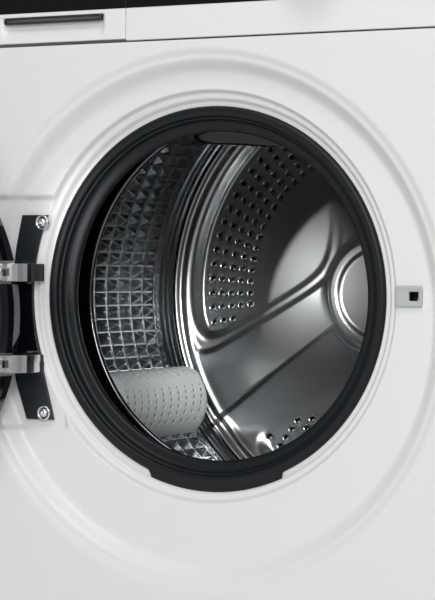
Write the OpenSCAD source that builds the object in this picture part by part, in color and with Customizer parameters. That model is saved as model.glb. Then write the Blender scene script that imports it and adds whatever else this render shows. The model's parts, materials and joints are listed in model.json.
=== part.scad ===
// Front load washing machine, door swung open.
// Frame: +Z up, front faces -Y, origin on the floor under the middle of the cabinet.

/* [Cabinet] */
// Width of the cabinet
body_w = 596; // [590:1:720]
// Depth from the front panel to the rear wall
body_d = 580; // [575:1:700]
// Height from the floor to the top of the worktop
body_h = 850; // [845:1:1000]
// Height of the feet under the base
foot_h = 28; // [20:1:36]
// Thickness of the cabinet sheet steel
sheet = 1.2; // [0.8:0.1:1.5]
// Thickness of the worktop
worktop_t = 28; // [20:1:36]
// Height of the control fascia
fascia_h = 116; // [100:1:140]
// Height of the kick panel above the base
kick_h = 82; // [70:1:100]

/* [Porthole] */
// Height of the drum axis above the floor
axis_z = 478; // [470:1:500]
// How far the dish and door centre sit below the drum axis
dish_drop = 20; // [0:1:24]
// Radius of the round dish pressed into the front panel
dish_r = 240; // [236:1:246]
// Depth of the dish
dish_depth = 16; // [12:1:18]
// Depth of the inner step that carries the gasket
step_depth = 28; // [24:1:30]
// Radius of the porthole opening in the front panel
port_r = 163; // [160:1:166]

/* [Drum] */
// Inner radius of the drum
drum_r = 240; // [200:1:246]
// Distance from the front panel to the drum's front edge
drum_front_y = 87; // [84:1:95]
// Length of the drum
drum_len = 327; // [270:1:340]
// Radius of the drum's mouth
mouth_r = 160; // [150:1:165]
// Height of a lifter above the drum wall
lifter_h = 40; // [30:1:60]
// Width of a lifter at the drum wall
lifter_w = 76; // [60:1:90]
// Length of a lifter
lifter_len = 245; // [180:1:250]
// Gap between drum and tub
tub_gap = 15; // [14:1:18]
// Wall of the plastic tub
tub_wall = 3; // [2.5:0.1:3.5]
// Radius of the drum shaft
shaft_r = 15; // [12:0.5:18]

/* [Door] */
// Outer radius of the door
door_r = 214; // [206:1:216]
// Thickness of the door ring
door_t = 32; // [30:1:36]
// Distance of the hinge axis left of the drum axis
hinge_x = 196; // [194:1:198]
// Distance of the hinge axis in front of the front panel
hinge_out = 16; // [15:1:17]
// Angle the door stands open
door_open = 168; // [0:1:168]
// Radius of the hinge pin
pin_r = 2.5; // [2:0.1:3]

/* [Drawer] */
// Width of the dispenser drawer front
drawer_w = 222; // [200:1:240]
// Depth of the dispenser tray
tray_d = 214; // [180:1:230]

/* [Controls] */
// Radius of the programme knob
knob_r = 27; // [22:1:30]
// Radius of the round buttons
button_r = 9; // [7:1:11]

/* [Hidden] */
$fn = 96;
e = 0.01;
run_gap = 0.05;   // running clearance on pins and shafts
seam = 1.5;       // gap between outer panels

hw = body_w / 2;
fy = -body_d / 2;              // front panel's face
ry = body_d / 2;               // rear wall's face
base_z = foot_h;
top_z = body_h - worktop_t;    // underside of the worktop
fascia_z = top_z - fascia_h;
kick_top = base_z + kick_h;
dish_z = axis_z - dish_drop;
dish_in = dish_r - 22;         // radius where the dish's slope meets its floor
step_out = 183;                // radius where the inner step starts
step_in = step_out - 11;       // radius where the inner step ends
pocket = 4;                    // extra depth of the hinge pocket
pocket_x = [-216, -120];
pocket_z = [-122, 88];         // from the drum axis
flange = 28;                   // depth of the front panels' side returns

// revolve an outline of [radius, y] points round the drum axis at height z
module round_y(z) translate([0, 0, z]) rotate([-90, 0, 0]) rotate_extrude() children();
// cylinder along Y from y0 to y1
module rod_y(x, z, r, y0, y1) translate([x, y0, z]) rotate([-90, 0, 0]) cylinder(r = r, h = y1 - y0);
// cylinder along Z
module rod_z(x, y, r, z0, z1) translate([x, y, z0]) cylinder(r = r, h = z1 - z0);
// box between two corners
module box(a, b) translate(a) cube(b - a);

// ---------- cabinet ----------
lip_w = 7;                     // folded lip of the side walls
back_open_x = 172;
back_open_z = [190, 706];
transit = [for (x = [-225, 225], z = [-110, 110]) [x, axis_z + z]];
valve_x = -150; valve_z = top_z - 40; valve_r = 13.2;
gland_x = -240; gland_z = top_z - 60; gland_r = 9;
drain_x = 245; drain_z = 78; drain_r = 11;

module cabinet_shell() color("white") difference() {
    union() {
        for (s = [-1, 1]) {
            box([s > 0 ? hw - sheet : -hw, fy + flange + 0.5, base_z],
                [s > 0 ? hw : -hw + sheet, ry, top_z]);
            // folded lip behind the front panels' returns
            box([s > 0 ? hw - lip_w : -hw, fy + flange + 0.5, base_z],
                [s > 0 ? hw : -hw + lip_w, fy + flange + 0.5 + sheet, top_z]);
        }
        box([-hw, ry - sheet, base_z], [hw, ry, top_z]);
    }
    box([-back_open_x, ry - 2 * sheet, back_open_z[0]], [back_open_x, ry + 1, back_open_z[1]]);
    for (t = transit) rod_y(t[0], t[1], 10, ry - 2 * sheet, ry + 1);
    rod_y(valve_x, valve_z, valve_r + 0.5, ry - 2 * sheet, ry + 1);
    rod_y(gland_x, gland_z, gland_r + 0.5, ry - 2 * sheet, ry + 1);
    rod_y(drain_x, drain_z, drain_r + 0.5, ry - 2 * sheet, ry + 1);
}

foot_at = [[-hw + 45, fy + 50], [hw - 45, fy + 50], [-hw + 45, ry - 50], [hw - 45, ry - 50]];
stem_r = 5;
damper_x = 150; damper_y = -20;

module base_frame() color("gainsboro") difference() {
    union() {
        box([-hw + sheet, fy + flange + 0.5 + sheet, base_z], [hw - sheet, ry - sheet, base_z + 2]);
        for (x = [-hw + sheet, hw - sheet - 2])
            box([x, fy + flange + 0.5 + sheet, base_z], [x + 2, ry - sheet, base_z + 30]);
        box([-hw + sheet, ry - sheet - 2, base_z], [hw - sheet, ry - sheet, base_z + 30]);
        for (f = foot_at) rod_z(f[0], f[1], 11, base_z, base_z + 14);
    }
    for (f = foot_at) rod_z(f[0], f[1], stem_r + run_gap, base_z - 1, base_z + 15);
}

module foot(i) color("dimgray") union() {
    rod_z(foot_at[i][0], foot_at[i][1], 20, 0, 8);
    rod_z(foot_at[i][0], foot_at[i][1], 12, 8, base_z - 0.5);
    rod_z(foot_at[i][0], foot_at[i][1], stem_r, base_z - 0.5 - e, base_z + 22);
}

latch_x = 200; latch_z = 2;    // latch slot from the drum axis
slot_w = 9; slot_h = 8;

// radius on the sloping inner step at which it is as deep as the hinge pocket
pocket_r = step_out - (step_out - step_in) * pocket / (step_depth - dish_depth);

module pocket_outline(grow) difference() {
    translate([pocket_x[0] - grow, axis_z + pocket_z[0] - grow])
        square([pocket_x[1] - pocket_x[0] + grow, pocket_z[1] - pocket_z[0] + 2 * grow]);
    translate([0, axis_z]) circle(r = pocket_r);
}
// a flat piece standing in the XZ plane from y0 to y1
module slab_y(y0, y1) translate([0, y1, 0]) rotate([90, 0, 0]) linear_extrude(y1 - y0) children();

// front sheet with its dish, inner step and hinge pocket
module front_panel() color("white") union() {
    difference() {
        union() {
            slab_y(fy, fy + sheet) difference() {
                translate([-hw, kick_top + seam]) square([body_w, fascia_z - kick_top - 2 * seam]);
                translate([0, dish_z]) circle(r = dish_r);
            }
            for (s = [-1, 1])
                box([s > 0 ? hw - sheet : -hw, fy, kick_top + seam],
                    [s > 0 ? hw : -hw + sheet, fy + flange, fascia_z - seam]);
            for (z = [kick_top + seam, fascia_z - seam - sheet])
                box([-hw, fy, z], [hw, fy + 18, z + sheet]);
            // sloping side of the dish
            translate([0, fy, 0]) round_y(dish_z) polygon([[dish_r, 0], [dish_r + 1.5, 0],
                [dish_r + 1.5, sheet], [dish_in + 2, dish_depth + sheet],
                [dish_in, dish_depth + sheet], [dish_in, dish_depth], [dish_r - 11, 5]]);
            // floor of the dish
            slab_y(fy + dish_depth, fy + dish_depth + sheet) difference() {
                translate([0, dish_z]) circle(r = dish_in + e);
                translate([0, axis_z]) circle(r = step_out);
                translate([latch_x - slot_w / 2, axis_z + latch_z - slot_h / 2]) square([slot_w, slot_h]);
            }
            // inner step and the lip that holds the gasket
            translate([0, fy, 0]) round_y(axis_z) polygon([[step_out, dish_depth],
                [step_out + sheet, dish_depth], [step_out + sheet, dish_depth + sheet],
                [step_in + sheet, step_depth + sheet], [port_r, step_depth + sheet],
                [port_r, step_depth], [step_in, step_depth]]);
        }
        slab_y(fy + dish_depth - 1, fy + dish_depth + pocket) pocket_outline(0);
    }
    // hinge pocket: its outer walls and its floor
    slab_y(fy + dish_depth, fy + dish_depth + pocket + e) difference() {
        pocket_outline(sheet);
        pocket_outline(0);
        translate([0, axis_z]) circle(r = step_out);
    }
    slab_y(fy + dish_depth + pocket, fy + dish_depth + pocket + sheet) pocket_outline(sheet);
}

flap_x = [150, 264]; flap_z = [base_z + 14, base_z + 76];
flap_t = 2.5;
flap_gap = 0.8;
flap_axis = [fy + flap_t / 2, flap_z[0] + flap_gap + flap_t / 2];
module along_x(x0, x1, y, z, r) translate([x0, y, z]) rotate([0, 90, 0]) cylinder(r = r, h = x1 - x0);

module kick_panel() color("white") difference() {
    union() {
        box([-hw, fy, base_z - 10], [hw, fy + flap_t, kick_top]);
        for (s = [-1, 1])
            box([s > 0 ? hw - sheet : -hw, fy, base_z - 10],
                [s > 0 ? hw : -hw + sheet, fy + flange, kick_top]);
    }
    box([flap_x[0], fy - 1, flap_z[0]], [flap_x[1], fy + 3, flap_z[1]]);
    along_x(flap_x[0] - 4, flap_x[1] + 4, flap_axis[0], flap_axis[1], 0.8 + run_gap);
}

module rear_cover() color("silver") union() {
    box([-back_open_x - 12, ry, back_open_z[0] - 12], [back_open_x + 12, ry + sheet, back_open_z[1] + 12]);
    for (i = [0:4])
        box([-120, ry + sheet - e, 260 + i * 90], [120, ry + sheet + 3, 280 + i * 90]);
}

module worktop() color("whitesmoke") union() {
    box([-hw, fy, top_z + 4], [hw, ry, body_h]);
    difference() {
        box([-hw + 3, fy + 3, top_z], [hw - 3, ry - 3, top_z + 4 + e]);
        box([-hw + 30, fy + 30, top_z - 1], [hw - 30, ry - 30, top_z + 4]);
    }
}

spring_x = 215; spring_y = 20; spring_r = 13;
spring_z = [axis_z + 182, top_z - 24];
module top_brace() color("silver") difference() {
    union() {
        box([-hw + sheet, spring_y - 14, top_z - 20], [hw - sheet, spring_y + 14, top_z - 17]);
        for (y = [spring_y - 14, spring_y + 12])
            box([-hw + sheet, y, top_z - 20], [hw - sheet, y + 2, top_z - 4]);
        for (x = [-spring_x, spring_x])
            rod_z(x, spring_y, 6, spring_z[1], top_z - 20 + e);
    }
}

// ---------- controls ----------
drawer_x = [-hw + 1, -hw + 1 + drawer_w];     // drawer front from left to right
band_z = [fascia_z + 29, top_z - 10];         // black glass band
wall = 3;
knob_x = 110; knob_z = (band_z[0] + band_z[1]) / 2;
power_x = 262; start_x = 216;

module control_holes(y0, y1, extra) {
    rod_y(knob_x, knob_z, 6 + extra, y0, y1);
    for (x = [power_x, start_x]) rod_y(x, knob_z, button_r + extra, y0, y1);
}

module fascia() color("white") difference() {
    union() {
        box([drawer_x[1] + 1, fy, fascia_z], [hw, fy + wall, top_z]);
        box([-hw, fy + 14, fascia_z], [hw, fy + 14 + wall, top_z]);
        box([drawer_x[1] + 1, fy, top_z - wall], [hw, fy + 17, top_z]);
        box([drawer_x[1] + 1, fy, fascia_z], [hw, fy + 17, fascia_z + wall]);
        box([drawer_x[1] + 1, fy, fascia_z], [drawer_x[1] + 1 + wall, fy + 17, top_z]);
        box([hw - wall, fy, fascia_z], [hw, fy + flange, top_z]);
        box([-hw, fy + 14, fascia_z], [-hw + wall, fy + flange, top_z]);
    }
    box([drawer_x[1] + 1 - e, fy - 1, band_z[0]], [hw - 1, fy + 1.5, band_z[1]]);
    control_holes(fy - 1, fy + 20, 0.5);
    // mouth for the dispenser tray
    box([tray_x[0] - 1.5, fy + 13, tray_z[0] - 1.5], [tray_x[1] + 1.5, fy + 18, tray_z[1] + 1.5]);
}

module display_glass() color("black") difference() {
    box([drawer_x[1] + 1, fy, band_z[0]], [hw - 1, fy + 1.5, band_z[1]]);
    control_holes(fy - 1, fy + 3, 0.5);
}

module programme_knob() color("silver") union() {
    rod_y(knob_x, knob_z, knob_r, fy - 22, fy - 1);
    rod_y(knob_x, knob_z, 6, fy - 1 - e, fy + 12);
}

module button(x) color("dimgray") union() {
    rod_y(x, knob_z, button_r, fy - 1.5, fy + 8);
}

tray_x = [-hw + 12, -hw + 1 + drawer_w - 14];
tray_z = [axis_z + 262, top_z - 24];
tray_y = [fy + 8, fy + 8 + tray_d];
front_z = [fascia_z + seam, top_z - seam];
handle_x = [-203, -99]; handle_z = [fascia_z + 19, fascia_z + 25];

module drawer_front() color("white") difference() {
    box([drawer_x[0], fy, front_z[0]], [drawer_x[1], fy + 8, front_z[1]]);
    box([drawer_x[0] + 6, fy + 3, front_z[0] + 3], [drawer_x[1] - 6, fy + 9, band_z[0] - 24]);
    box([drawer_x[0] - 1, fy - 1, band_z[0]], [drawer_x[1] + 1, fy + 1.5, band_z[1]]);
    // finger recess under the grip
    box([handle_x[0] - 2, fy - 1, handle_z[0] - 14], [handle_x[1] + 2, fy + 5, handle_z[1]]);
}

module drawer_glass() color("black")
    box([drawer_x[0], fy, band_z[0]], [drawer_x[1], fy + 1.5, band_z[1]]);

module drawer_handle() color("#2b2d30")
    box([handle_x[0], fy - 1, handle_z[0]], [handle_x[1], fy + 5, handle_z[1]]);

module drawer_tray() color("lightgray") difference() {
    box([tray_x[0], tray_y[0], tray_z[0]], [tray_x[1], tray_y[1], tray_z[1]]);
    for (i = [0:2])
        box([tray_x[0] + 2 + i * (tray_x[1] - tray_x[0]) / 3, tray_y[0] + 2, tray_z[0] + 2],
            [tray_x[0] - 2 + (i + 1) * (tray_x[1] - tray_x[0]) / 3, tray_y[1] - 2, tray_z[1] + 1]);
}

module dispenser_housing() color("white") difference() {
    box([tray_x[0] - 4, fy + 17, tray_z[0] - 4], [tray_x[1] + 4, tray_y[1] + 6, tray_z[1] + 8]);
    box([tray_x[0] - 1.5, fy + 16, tray_z[0] - 1.5], [tray_x[1] + 1.5, tray_y[1] + 3, tray_z[1] + 5]);
    // corner cut back from the tub's flange at the top of its travel
    rod_y(0, axis_z, tub_r + tub_wall + 16, tub_y[0], tub_y[1]);
}

module inlet_valve() color("dodgerblue") union() {
    rod_y(valve_x, valve_z, valve_r - 1, ry - 20, ry + 2);
    rod_y(valve_x, valve_z, valve_r, ry + 2 - e, ry + 18);
    box([valve_x - 20, ry - 60, valve_z - 18], [valve_x + 20, ry - 20 + e, valve_z + 18]);
    rod_y(valve_x, valve_z, 6, ry - 84, ry - 60 + e);
}

module cord_gland() color("black") union() {
    rod_y(gland_x, gland_z, gland_r, ry - 8, ry + 12);
    box([gland_x - 24, ry - 60, gland_z - 20], [gland_x + 24, ry - 8 + e, gland_z + 20]);
}

// ---------- drain ----------
plug_x = 207; plug_z = base_z + 45; plug_r = 24;
sump_x = 110; sump_y = fy + 135;
pump_y = [fy + 20, fy + 185];
module drain_pump() color("white") difference() {
    union() {
        rod_y(plug_x, plug_z, plug_r + 6, pump_y[0], pump_y[1] - 55);
        rod_y(plug_x, plug_z, plug_r + 2, pump_y[1] - 55 - e, pump_y[1]);
        translate([sump_x, sump_y, plug_z]) rotate([0, 90, 0]) cylinder(r = 14, h = plug_x - sump_x);
        rod_z(sump_x, sump_y, 14, plug_z, plug_z + 34);
        rod_y(drain_x, drain_z, drain_r, sump_y - 10, sump_y + 20);
        translate([plug_x, sump_y, drain_z]) rotate([0, 90, 0]) cylinder(r = 9, h = drain_x - plug_x);
        box([plug_x - 28, sump_y - 20, base_z + 2], [plug_x + 28, sump_y + 20, plug_z - plug_r + 1]);
    }
    rod_y(plug_x, plug_z, plug_r + 0.3, pump_y[0] - 1, pump_y[1] - 62);
}

module filter_plug() color("gray") union() {
    rod_y(plug_x, plug_z, plug_r, fy + 16, pump_y[1] - 64);
    box([plug_x - 20, fy + 6, plug_z - 3], [plug_x + 20, fy + 16 + e, plug_z + 3]);
}

module drain_hose() color("gray") union() {
    rod_y(drain_x, drain_z, drain_r, sump_y + 20, ry - 20);
    rod_y(drain_x, drain_z, drain_r + 2, ry - 20 - e, ry - sheet - e);
    rod_y(drain_x, drain_z, drain_r - 1, ry - sheet - 2 * e, ry + 2);
    rod_y(drain_x, drain_z, drain_r, ry + 2 - e, ry + 24);
}

module filter_flap() color("white") union() {
    box([flap_x[0] + flap_gap, fy, flap_axis[1]], [flap_x[1] - flap_gap, fy + flap_t, flap_z[1] - flap_gap]);
    along_x(flap_x[0] + flap_gap, flap_x[1] - flap_gap, flap_axis[0], flap_axis[1], flap_t / 2);
    along_x(flap_x[0] - 3, flap_x[1] + 3, flap_axis[0], flap_axis[1], 0.8);
    box([flap_x[0] + 30, fy + flap_t - e, flap_z[1] - 12], [flap_x[0] + 50, fy + flap_t + 2.5, flap_z[1] - 6]);
}

// ---------- tub ----------
tub_r = drum_r + sheet + tub_gap;
tub_y = [fy + drum_front_y - 19, fy + drum_front_y + drum_len + 26];   // outer faces
split_y = tub_y[0] + 150;
neck_r = 174;
hub_r = 42;
hub_y = [tub_y[1] - 12, tub_y[1] + 30];
pulley_y = [tub_y[1] + 38, tub_y[1] + 54];
motor_x = -70; motor_z = axis_z - 343; motor_r = 66;
pulley_r = 140; small_r = 11;
heater_x = 22; heater_z = axis_z - (tub_r + drum_r + sheet) / 2; heater_r = 4;

module tub_front() color("silver") union() {
    translate([0, 0, 0]) round_y(axis_z) polygon([[neck_r, tub_y[0] - 14], [neck_r + tub_wall, tub_y[0] - 14],
        [neck_r + tub_wall, tub_y[0]], [tub_r + tub_wall, tub_y[0]], [tub_r + tub_wall, split_y - 8],
        [tub_r + tub_wall + 8, split_y - 8], [tub_r + tub_wall + 8, split_y], [tub_r, split_y],
        [tub_r, tub_y[0] + tub_wall], [neck_r, tub_y[0] + tub_wall]]);
    // sump outlet
    difference() {
        rod_z(sump_x, sump_y, 20, axis_z - tub_r - 8, axis_z - tub_r + 60);
        rod_y(0, axis_z, tub_r + 1, tub_y[0] - 1, split_y + 1);
        rod_z(sump_x, sump_y, 14, axis_z - tub_r - 9, axis_z - tub_r + 20);
    }
}

lug = [12, 16];
module tub_rear() color("silver") difference() {
    union() {
        round_y(axis_z) polygon([[tub_r, split_y], [tub_r + tub_wall + 8, split_y],
            [tub_r + tub_wall + 8, split_y + 8], [tub_r + tub_wall, split_y + 8],
            [tub_r + tub_wall, tub_y[1]], [hub_r, tub_y[1]], [hub_r, hub_y[1]], [shaft_r + 24, hub_y[1]],
            [shaft_r + 24, hub_y[0]], [hub_r, hub_y[0]], [hub_r, tub_y[1] - tub_wall],
            [tub_r, tub_y[1] - tub_wall]]);
        // stiffening ribs on the rear wall
        for (a = [0:30:330]) translate([0, 0, axis_z]) rotate([0, a, 0])
            box([hub_r - 1, tub_y[1] - e, -1.5], [tub_r - 4, tub_y[1] + 14, 1.5]);
        // spring lugs
        for (s = [-1, 1]) difference() {
            box([s * spring_x - lug[0] / 2, spring_y - lug[1] / 2, axis_z + 100],
                [s * spring_x + lug[0] / 2, spring_y + lug[1] / 2, spring_z[0] - e]);
            rod_y(0, axis_z, tub_r + 1, 0, spring_y + lug[1]);
        }
        // motor brackets
        for (x = [-100, -52]) difference() {
            box([motor_x + x + 70, 60, motor_z + 20], [motor_x + x + 82, 80, axis_z - 200]);
            rod_y(motor_x, motor_z, motor_r, 50, 90);
            rod_y(0, axis_z, tub_r + 1, 50, 90);
        }
        // damper lugs
        for (s = [-1, 1]) difference() {
            box([s * damper_x - 10, damper_y - 8, axis_z - 236], [s * damper_x + 10, damper_y + 8, axis_z - 180]);
            rod_y(0, axis_z, tub_r + 1, damper_y - 10, damper_y + 10);
        }
    }
    for (s = [-1, 1]) rod_y(s * heater_x, heater_z, heater_r + 0.2, tub_y[1] - 10, tub_y[1] + 20);
    box([-heater_x - 12, tub_y[1], heater_z - 10], [heater_x + 12, tub_y[1] + 20, heater_z + 10]);
}

module upper_counterweight() color("gray") difference() {
    box([-72, -150, axis_z + 225], [150, 90, axis_z + tub_r + tub_wall + 51]);
    rod_y(0, axis_z, tub_r + tub_wall + 8.5, -160, 100);
}

module front_counterweight() color("gray") difference() {
    round_y(axis_z) polygon([[200, tub_y[0] - 32], [252, tub_y[0] - 32], [252, tub_y[0]], [200, tub_y[0]]]);
    box([-300, tub_y[0] - 40, axis_z - 70], [300, tub_y[0] + 1, axis_z + 300]);
}

module heater() color("silver") union() {
    for (s = [-1, 1]) rod_y(s * heater_x, heater_z, heater_r, -150, tub_y[1] + 16);
    translate([-heater_x, -150, heater_z]) rotate([0, 90, 0]) cylinder(r = heater_r, h = 2 * heater_x);
    for (s = [-1, 1]) translate([s * heater_x, -150, heater_z]) sphere(r = heater_r);
    box([-heater_x - 11, tub_y[1], heater_z - 9], [heater_x + 11, tub_y[1] + 6, heater_z + 9]);
}

module bearings() color("silver") for (y = [hub_y[0] + 2, hub_y[1] - 14]) difference() {
    rod_y(0, axis_z, shaft_r + 24, y, y + 12);
    rod_y(0, axis_z, shaft_r + run_gap, y - 1, y + 13);
}

rotor_r = 50;
rotor_y = [40, 100];
motor_y = [20, pulley_y[0] - 30];
module motor_housing() color("dimgray") difference() {
    union() {
        rod_y(motor_x, motor_z, motor_r, motor_y[0], motor_y[1]);
        rod_y(motor_x, motor_z, 20, motor_y[1] - e, pulley_y[0] - 12);
    }
    rod_y(motor_x, motor_z, 7 + run_gap, rotor_y[1], pulley_y[0] - 11);
    rod_y(motor_x, motor_z, rotor_r + 1, rotor_y[0] - 1, rotor_y[1] + 1);
}

// pulley, shaft and rotor of the motor
module motor_pulley() color("silver") union() {
    rod_y(motor_x, motor_z, small_r, pulley_y[0], pulley_y[1]);
    rod_y(motor_x, motor_z, 7, rotor_y[1] - e, pulley_y[0] + e);
    rod_y(motor_x, motor_z, rotor_r, rotor_y[0], rotor_y[1]);
}

module belt_outline(grow) hull() {
    translate([0, axis_z]) circle(r = pulley_r + grow);
    translate([motor_x, motor_z]) circle(r = small_r + grow);
}
module drive_belt() color("black") slab_y(pulley_y[0] + 2, pulley_y[1] - 2) difference() {
    belt_outline(2.8);
    belt_outline(0.8);
}

module damper_cylinders() color("gray") for (s = [-1, 1]) difference() {
    union() {
        rod_z(s * damper_x, damper_y, 13, base_z + 12, base_z + 150);
        box([s * damper_x - 12, damper_y - 12, base_z + 2], [s * damper_x + 12, damper_y + 12, base_z + 13]);
    }
    rod_z(s * damper_x, damper_y, stem_r + run_gap, base_z + 30, base_z + 151);
}

module damper_rods() color("silver") for (s = [-1, 1])
    rod_z(s * damper_x, damper_y, stem_r, base_z + 60, axis_z - 236);

// rubber bellows: a bead on the panel's lip, an inner lip, and a cuff on the tub's neck
module gasket() color("#23282c") translate([0, fy, 0]) round_y(axis_z) polygon([
    [160, 25], [167, 25], [169, 27], [169, step_depth], [port_r, step_depth],
    [port_r, step_depth + sheet], [169, step_depth + sheet], [169, 34], [163, 38], [158, 43],
    [157, 47], [163, 52], [168, 55.5], [neck_r - 3, 53], [neck_r - 3, 50], [neck_r + 6, 50],
    [neck_r + 6, 60], [neck_r + tub_wall, 60], [neck_r + tub_wall, 54], [neck_r, 54],
    [neck_r, 66], [neck_r - 3.5, 66], [168, 60], [160, 54], [152.5, 48], [150, 44],
    [147, 41], [147, 38], [150, 35], [158, 31]]);

module suspension_springs() color("silver") for (s = [-1, 1]) difference() {
    rod_z(s * spring_x, spring_y, spring_r, spring_z[0], spring_z[1]);
    rod_z(s * spring_x, spring_y, spring_r - 3, spring_z[0] + 3, spring_z[1] - 3);
}

module sump_hose() color("black") difference() {
    rod_z(sump_x, sump_y, 18, plug_z + 34, axis_z - tub_r - 8);
    rod_z(sump_x, sump_y, 13, plug_z + 33, axis_z - tub_r - 7);
}

// nozzle moulded over the top of the bellows
module spray_nozzle() color("black") intersection() {
    translate([0, fy, 0]) round_y(axis_z) polygon([[144, 61], [168, 61], [168, 78], [138, 78], [138, 68]]);
    box([-42, fy + 50, axis_z + 100], [58, fy + 90, axis_z + 180]);
}

// ---------- drum ----------
dy = [fy + drum_front_y, fy + drum_front_y + drum_len];
module drum_shell() color("silver") round_y(axis_z)
    polygon([[drum_r, dy[0] + 12], [drum_r + sheet, dy[0] + 12], [drum_r + sheet, dy[1]], [drum_r, dy[1]]]);

module drum_front() color("silver") round_y(axis_z) polygon([[mouth_r, dy[0]], [mouth_r + 4, dy[0]],
    [mouth_r + 20, dy[0] + 4], [drum_r - 12, dy[0] + 5], [drum_r, dy[0] + 12], [drum_r - 1, dy[0] + 14],
    [drum_r - 14, dy[0] + 7], [mouth_r + 20, dy[0] + 6], [mouth_r + 4, dy[0] + 3], [mouth_r, dy[0] + 3]]);

petal_rows = [157, 168.5, 180, 191.5, 203];
module drum_back() color("silver") difference() {
    union() {
        rod_y(0, axis_z, drum_r - e, dy[1] - 2, dy[1]);
        rod_y(0, axis_z, 58, dy[1] - 6, dy[1] - 2 + e);
    }
    for (k = [0:2], r = [petal_rows[0], petal_rows[2], petal_rows[4]], a = [-24:12:24])
        rod_y(r * cos(149.3 + 120 * k + a), axis_z + r * sin(149.3 + 120 * k + a), 2.5, dy[1] - 3, dy[1] + 1);
}

lifter_y = [dy[0] + 33, dy[0] + 33 + lifter_len];
module lifter(k) color("lightgray") intersection() {
    translate([0, 0, axis_z]) rotate([0, -(209.3 + 120 * k), 0])
        slab_y(lifter_y[0], lifter_y[1])
            polygon([[drum_r + 2, -lifter_w / 2], [drum_r - lifter_h * 0.75, -lifter_w * 0.33],
                [drum_r - lifter_h, -lifter_w * 0.16], [drum_r - lifter_h, lifter_w * 0.16],
                [drum_r - lifter_h * 0.75, lifter_w * 0.33], [drum_r + 2, lifter_w / 2]]);
    rod_y(0, axis_z, drum_r - 0.02, lifter_y[0] - 1, lifter_y[1] + 1);
}

module drum_spider() color("darkgray") union() {
    for (k = [0:2]) translate([0, 0, axis_z]) rotate([0, -(209.3 + 120 * k), 0])
        box([20, dy[1] + e, -18], [drum_r - 14, dy[1] + 10, 18]);
    rod_y(0, axis_z, 36, dy[1] + e, dy[1] + 12);
    rod_y(0, axis_z, shaft_r, dy[1] + 12 - e, pulley_y[1] + 4);
}

module drum_pulley() color("silver") difference() {
    union() {
        round_y(axis_z) polygon([[pulley_r - 8, pulley_y[0]], [pulley_r, pulley_y[0]],
            [pulley_r, pulley_y[1]], [pulley_r - 8, pulley_y[1]]]);
        for (a = [0:60:300]) translate([0, 0, axis_z]) rotate([0, a, 0])
            box([24, pulley_y[0] + 4, -8], [pulley_r - 7, pulley_y[1] - 4, 8]);
        rod_y(0, axis_z, 28, pulley_y[0], pulley_y[1]);
    }
    rod_y(0, axis_z, shaft_r, pulley_y[0] - 1, pulley_y[1] + 1);
}

// ---------- door, hinge and latch ----------
hy = fy - hinge_out;
arm_z = [-71.5, 12];          // lower ends of the two hinge arms, from the drum axis
arm_h = 16;
tine = 4.6;                   // height of each fork tine
barrel_r = 5.5;
door_y = [fy - hinge_out + 18 - door_t, fy - hinge_out + 18];   // front and inner face when closed
module swung() translate([-hinge_x, hy, 0]) rotate([0, 0, -door_open]) translate([hinge_x, -hy, 0]) children();

plate_y = [fy + dish_depth + pocket - 3, fy + dish_depth + pocket];
// wing plate: two wings that lean outwards, cut back along the inner step
module wing_outline() difference() {
    translate([0, axis_z]) polygon([[-193, 73], [-162, 73], [-162, 40], [-170, -70], [-158, -115],
        [-187, -115], [-199, -80], [-204, -45], [-205, -21], [-204, 8], [-199, 45]]);
    translate([0, axis_z]) circle(r = step_out - 2);
}
// small tabs of the plate that carry the feet of the arms
module arm_tabs() for (z = arm_z)
    translate([-hinge_x + 4, axis_z + z]) square([bend_r + arm_t / 2 - 3, arm_h]);
module hinge_plate() color("#1d2124") union() {
    slab_y(plate_y[0], plate_y[1]) wing_outline();
    slab_y(plate_y[0], plate_y[1]) arm_tabs();
}

module hinge_cover() color("black") slab_y(plate_y[0] - 1.5, plate_y[0]) intersection() {
    translate([-210, axis_z + arm_z[0] + arm_h + 1]) square([60, arm_z[1] - arm_z[0] - arm_h - 2]);
    wing_outline();
}

// one fixed arm: a foot on the plate, a quarter bend and two tines round the pin
bend_r = 21;
arm_t = 7;
fork_r = 11;
function bend(r, a0, a1) = [for (i = [0:8]) [0, bend_r] + r * [cos(a0 + (a1 - a0) * i / 8), sin(a0 + (a1 - a0) * i / 8)]];
arm_outline = concat(bend(bend_r + arm_t / 2, -90, 0),
    [[bend_r + arm_t / 2, plate_y[0] - hy], [bend_r - arm_t / 2, plate_y[0] - hy]],
    bend(bend_r - arm_t / 2, 0, -90));
module hinge_lugs() color("silver") for (z = arm_z) difference() {
    union() {
        translate([-hinge_x, hy, axis_z + z]) linear_extrude(arm_h) polygon(arm_outline);
        rod_z(-hinge_x, hy, barrel_r, axis_z + z, axis_z + z + arm_h);
    }
    translate([-hinge_x, hy, axis_z + z + tine]) cylinder(r = fork_r, h = arm_h - 2 * tine);
    rod_z(-hinge_x, hy, pin_r, axis_z + z - 1, axis_z + z + arm_h + 1);
}

module hinge_pins() color("silver") for (z = arm_z) union() {
    rod_z(-hinge_x, hy, pin_r, axis_z + z, axis_z + z + arm_h);
    for (s = [0, 1]) rod_z(-hinge_x, hy, pin_r + 1, axis_z + z + s * arm_h - (1 - s), axis_z + z + s * arm_h + s);
}

// notches the arms pass through in the door's rim
module arm_notches(y0, y1, reach) for (z = arm_z)
    box([-door_r - 5, y0, axis_z + z - 2.5], [-hinge_x + reach, y1, axis_z + z + arm_h + 2.5]);

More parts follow.
